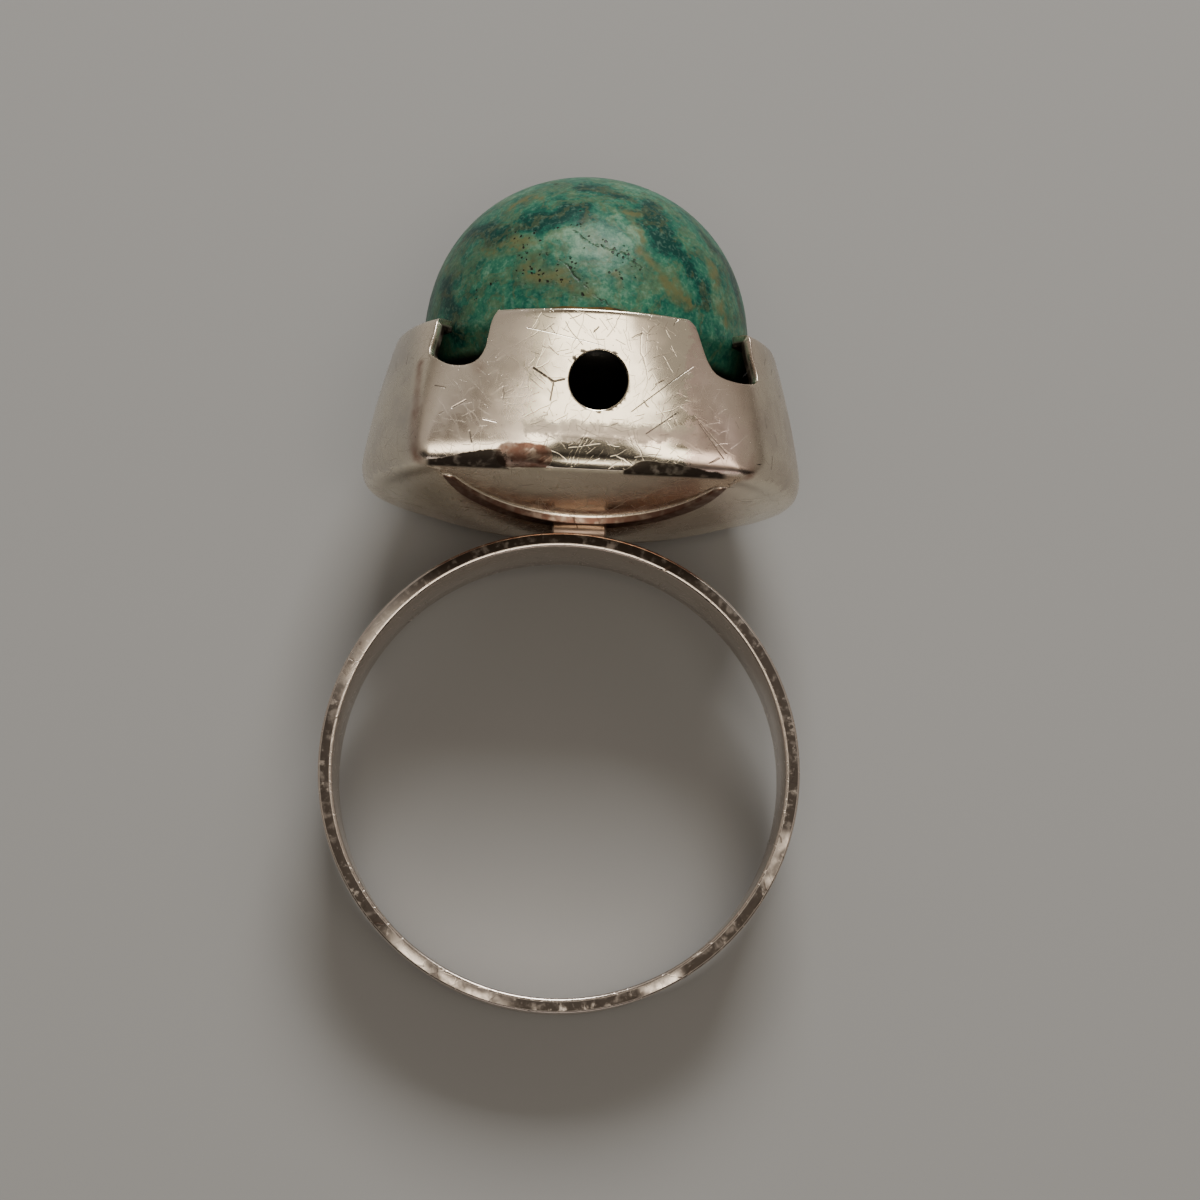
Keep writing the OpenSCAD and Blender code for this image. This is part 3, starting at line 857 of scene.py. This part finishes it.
def green_feldspar():
    """Teal and mint clouds, tan veins, pits and fine cracks under a satin polish, with painted shade
    towards its base.
    """
    material, tree, skin = new_material("green_feldspar")
    place = standing_mm(tree)

    def wander(scale, detail, reach):
        """The place, drifting by up to half the reach, so that what is drawn there bends."""
        drift = vector_node(tree, "SUBTRACT", noise(tree, place, scale, detail)["Color"], (0.5, 0.5, 0.5))
        return vector_node(tree, "MULTIPLY_ADD", drift, (reach, reach, reach), place)

    def streaks(table, where):
        return most(tree, [
            streak(tree, where, on_stone(*start), on_stone(*end), width) for start, end, width in table
        ])

    bent = wander(0.55, 6.0, 3.0)
    nearly = wander(2.5, 3.0, 0.35)

    # clouds from deep teal to mint, in three sizes, with the photographed patches laid on them
    grained = {"Vector": bent, "Rotation": (0.3, 0.6, -0.9), "Scale": (0.35, 0.7, 1.0)}
    laid = node(tree, "Mapping", grained).outputs[0]
    cloud = product(tree, noise(tree, laid, 0.8, 8.0, 0.65)[0], 0.55)
    cloud = math_node(tree, "MULTIPLY_ADD", noise(tree, place, 1.7, 8.0, 0.7)[0], 0.5, cloud)
    cloud = math_node(tree, "SUBTRACT", cloud, 0.14)
    shade = math_node(tree, "MULTIPLY_ADD", noise(tree, place, 7.0, 4.0)[0], 0.25, cloud)
    shade = math_node(tree, "MULTIPLY_ADD", streaks(MINT, bent), 0.15, shade)
    shade = math_node(tree, "MULTIPLY_ADD", streaks(DEEP_TEAL, bent), -0.30, shade)
    ramp = node(tree, "ValToRGB", {0: shade})
    stops = ramp.color_ramp.elements
    stops[0].position, stops[0].color = GREENS[0]
    stops[1].position, stops[1].color = GREENS[-1]
    for position, green in GREENS[1:-1]:
        stops.new(position).color = green
    hatch = {"Vector": place, "Scale": 6.0, "Detail": 5.0, "Distortion": 0.6}
    hatch = span(tree, node(tree, "TexNoise", hatch).outputs[0], 0.50, 0.70, 0.0, 0.35)
    colour = mix_colour(tree, hatch, ramp.outputs[0], PALE_GREEN)

    # tan, in thin loose veins everywhere and in the photographed veins
    ridge = math_node(tree, "SUBTRACT", noise(tree, bent, 0.5, 9.0, 0.65)[0], 0.5)
    loose = product(tree, span(tree, math_node(tree, "ABSOLUTE", ridge), 0.05, 0.0), 0.4)
    speck = span(tree, noise(tree, place, 2.6, 7.0)[0], 0.30, 0.52)
    tan = most(tree, [loose, product(tree, streaks(TAN, bent), speck)])
    colour = mix_colour(tree, product(tree, tan, 0.85), colour, TAN_BROWN)

    # holes: round pits in uneven sizes, broken cracks and one pit by itself
    cells = node(tree, "TexVoronoi", {"Vector": nearly, "Scale": 6.0}).outputs
    drawn = node(tree, "SeparateColor", {0: cells["Color"]}).outputs
    spread = math_node(tree, "MULTIPLY_ADD", drawn[1], 0.30, cells["Distance"])
    dots = product(tree, span(tree, spread, 0.48, 0.34), math_node(tree, "LESS_THAN", drawn[0], 0.55))
    pits = product(tree, dots, span(tree, streaks(PITTED, bent), 0.15, 0.5))
    broken = span(tree, noise(tree, place, 4.0)[0], 0.35, 0.55)
    cracks = product(tree, streaks(CRACKS, nearly), broken)
    holes = most(tree, [pits, product(tree, cracks, 0.8), streaks(LONE_PIT, nearly)])
    colour = mix_colour(tree, holes, colour, HOLE_BLACK)

    height = node(tree, "SeparateXYZ", {0: place}).outputs[2]
    base = CUP_Z + STONE_BASE
    # painted shade: darker to near black towards the stone's base, down in the cup
    colour = mix_colour(tree, span(tree, height, base + 0.75, base + 0.35), colour, SHADE_IN_THE_CUP)
    tree.links.new(colour, skin.inputs["Base Color"])
    grain = noise(tree, place, 5.0, 6.0)[0]
    skin.inputs["Specular IOR Level"].default_value = 0.2
    tree.links.new(math_node(tree, "MULTIPLY_ADD", grain, 0.25, 0.25), skin.inputs["Roughness"])
    relief = math_node(tree, "MULTIPLY_ADD", holes, -1.6, product(tree, grain, 0.7))
    bump = node(tree, "Bump", {"Distance": 0.00002, "Height": relief})
    tree.links.new(bump.outputs[0], skin.inputs["Normal"])
    return material


lay_piece("cabochon_stone", stone, green_feldspar(), "cabochon")


# Stone cement: amber cement in the gap between the stone and the mouth. It stands proud in
# an uneven line behind the plate of each face, and ends below the mouth at the sides.
MOUTH = WALL[0][0]
CEMENT_IN = 6.55
CEMENT_OUT = 6.65
CEMENT_DEPTH = 0.5
UNEVEN = 0.07
CEMENT_STEPS = 60
# Stretches: turn of the middle and half the angle in degrees, top above the mouth
STRETCHES = ((90, 27, 0.2), (270, 27, 0.2), (0, 18, -0.1), (180, 18, -0.1))
AMBER = (0.11, 0.062, 0.008, 1)
DARK_AMBER = (0.030, 0.016, 0.004, 1)

cement = bmesh.new()
bottom = MOUTH - CEMENT_DEPTH
for turn, half_angle, top in STRETCHES:
    start = radians(turn - half_angle)
    corners = (
        (CEMENT_IN, bottom), (CEMENT_OUT, bottom), (CEMENT_OUT, MOUTH + top), (CEMENT_IN, MOUTH + top),
    )
    ring = [cement.verts.new((r * cos(start), r * sin(start), h)) for r, h in corners]
    bmesh.ops.spin(
        cement, geom=[cement.faces.new(ring)], cent=(0, 0, 0), axis=(0, 0, 1),
        angle=radians(2 * half_angle), steps=CEMENT_STEPS, use_merge=False,
    )
for vert in (v for v in cement.verts if v.co.z > MOUTH):
    turn = np.arctan2(vert.co.y, vert.co.x)
    vert.co.z -= UNEVEN * (1 + 0.6 * sin(9 * turn) + 0.4 * sin(23 * turn + 1))
bmesh.ops.rotate(cement, cent=(0, 0, 0), matrix=Matrix.Rotation(CUP_TWIST, 3, "Z"), verts=cement.verts)
bmesh.ops.translate(cement, vec=(0, 0, CUP_Z), verts=cement.verts)

amber, tree, skin = new_material("amber_cement")
clouds = span(tree, noise(tree, standing_mm(tree), 1.2, 3.0)[0], 0.35, 0.65)
tree.links.new(mix_colour(tree, clouds, AMBER, DARK_AMBER), skin.inputs["Base Color"])
skin.inputs["Roughness"].default_value = 0.25
lay_piece("cement_line", cement, amber, "stone_cement")


# Plain pale floor, soft studio light and the camera at the photograph's angle, all of them
# in metres. What the silver mirrors is a warm room with a dark patch overhead.
FLOOR_HALF = 1.2
PALE_GREY = (0.285, 0.282, 0.274, 1)
CEILING_LEFT = (0.98, 0.89, 0.75, 1)
CEILING_RIGHT = (0.76, 0.65, 0.57, 1)
WALL_LOW = (0.17, 0.15, 0.13, 1)
WALL_HIGH = (0.34, 0.31, 0.28, 1)
OVERHEAD = (0.0, 0.08, 0.997)
OVERHEAD_BROWN = (0.07, 0.050, 0.038, 1)
FRONT_SHADE = (0.010, 0.008, 0.008, 1)
BRIGHT_STRIP = (1.0, 0.90, 0.88, 1)

floor_bm = bmesh.new()
bmesh.ops.create_grid(floor_bm, x_segments=1, y_segments=1, size=FLOOR_HALF)
floor_mesh = bpy.data.meshes.new("floor")
floor_bm.to_mesh(floor_mesh)
floor_bm.free()
floor = bpy.data.objects.new("floor", floor_mesh)
bpy.context.scene.collection.objects.link(floor)
pale, _, skin = new_material("pale_floor")
skin.inputs["Base Color"].default_value = PALE_GREY
skin.inputs["Roughness"].default_value = 0.8
floor_mesh.materials.append(pale)

world = bpy.data.worlds.new("studio")
bpy.context.scene.world = world
world.use_nodes = True
sky = world.node_tree
direction = node(sky, "TexCoord").outputs["Generated"]
toward = node(sky, "SeparateXYZ", {0: direction}).outputs
# a bright ceiling towards the front, over walls that lighten upwards
ceiling = mix_colour(sky, span(sky, toward[0], -0.45, 0.45), CEILING_LEFT, CEILING_RIGHT)
room = mix_colour(sky, span(sky, toward[2], 0.0, 0.5), WALL_LOW, WALL_HIGH)
in_front = product(sky, span(sky, toward[1], -0.14, -0.24), span(sky, toward[2], 0.55, 0.8))
room = mix_colour(sky, in_front, room, ceiling)
# dark overhead, and in front a dark band under the bright ceiling and a bright strip low down
zenith = vector_node(sky, "DOT_PRODUCT", direction, OVERHEAD, result="Value")
overhead = span(sky, zenith, cos(radians(24)), cos(radians(15)))
room = mix_colour(sky, overhead, room, OVERHEAD_BROWN)
low = product(sky, span(sky, toward[2], 0.87, 0.81), span(sky, toward[1], -0.25, -0.45))
room = mix_colour(sky, low, room, FRONT_SHADE)
strip = product(sky, span(sky, toward[2], 0.30, 0.24), span(sky, toward[1], -0.90, -0.95))
room = mix_colour(sky, strip, room, BRIGHT_STRIP)
sky.links.new(room, sky.nodes["Background"].inputs["Color"])
sky.nodes["Background"].inputs["Strength"].default_value = 1.0


def soft_light(name, place, aim, size, power, colour):
    """A rectangular softbox at a place, turned to face its aim."""
    lamp = bpy.data.lights.new(name, "AREA")
    lamp.shape = "RECTANGLE"
    lamp.size, lamp.size_y = size
    lamp.energy = power
    lamp.color = colour
    rig = bpy.data.objects.new(name, lamp)
    rig.location = place
    rig.rotation_euler = (Vector(aim) - Vector(place)).to_track_quat("-Z", "Y").to_euler()
    bpy.context.scene.collection.objects.link(rig)


soft_light(
    "front_softbox", place=(0.018, -0.094, 0.232), aim=(0, 0.006, 0.01), size=(0.15, 0.10),
    power=0.15, colour=(1.0, 0.92, 0.80),
)
soft_light(
    "window", place=(0.03, 0.22, 0.22), aim=(0, 0, 0), size=(0.14, 0.14),
    power=0.95, colour=(1.0, 0.99, 0.97),
)

CAMERA_AT = (-0.0036634, -0.0399865, 0.1197223)
CAMERA_TURN = (radians(19.05), radians(-3.079), radians(1.642))
LENS = 91.686
lens = bpy.data.cameras.new("camera")
lens.lens = LENS
lens.sensor_width = 36
lens.clip_start, lens.clip_end = 0.01, 5
camera = bpy.data.objects.new("camera", lens)
camera.location = CAMERA_AT
camera.rotation_euler = CAMERA_TURN
bpy.context.scene.collection.objects.link(camera)
bpy.context.scene.camera = camera
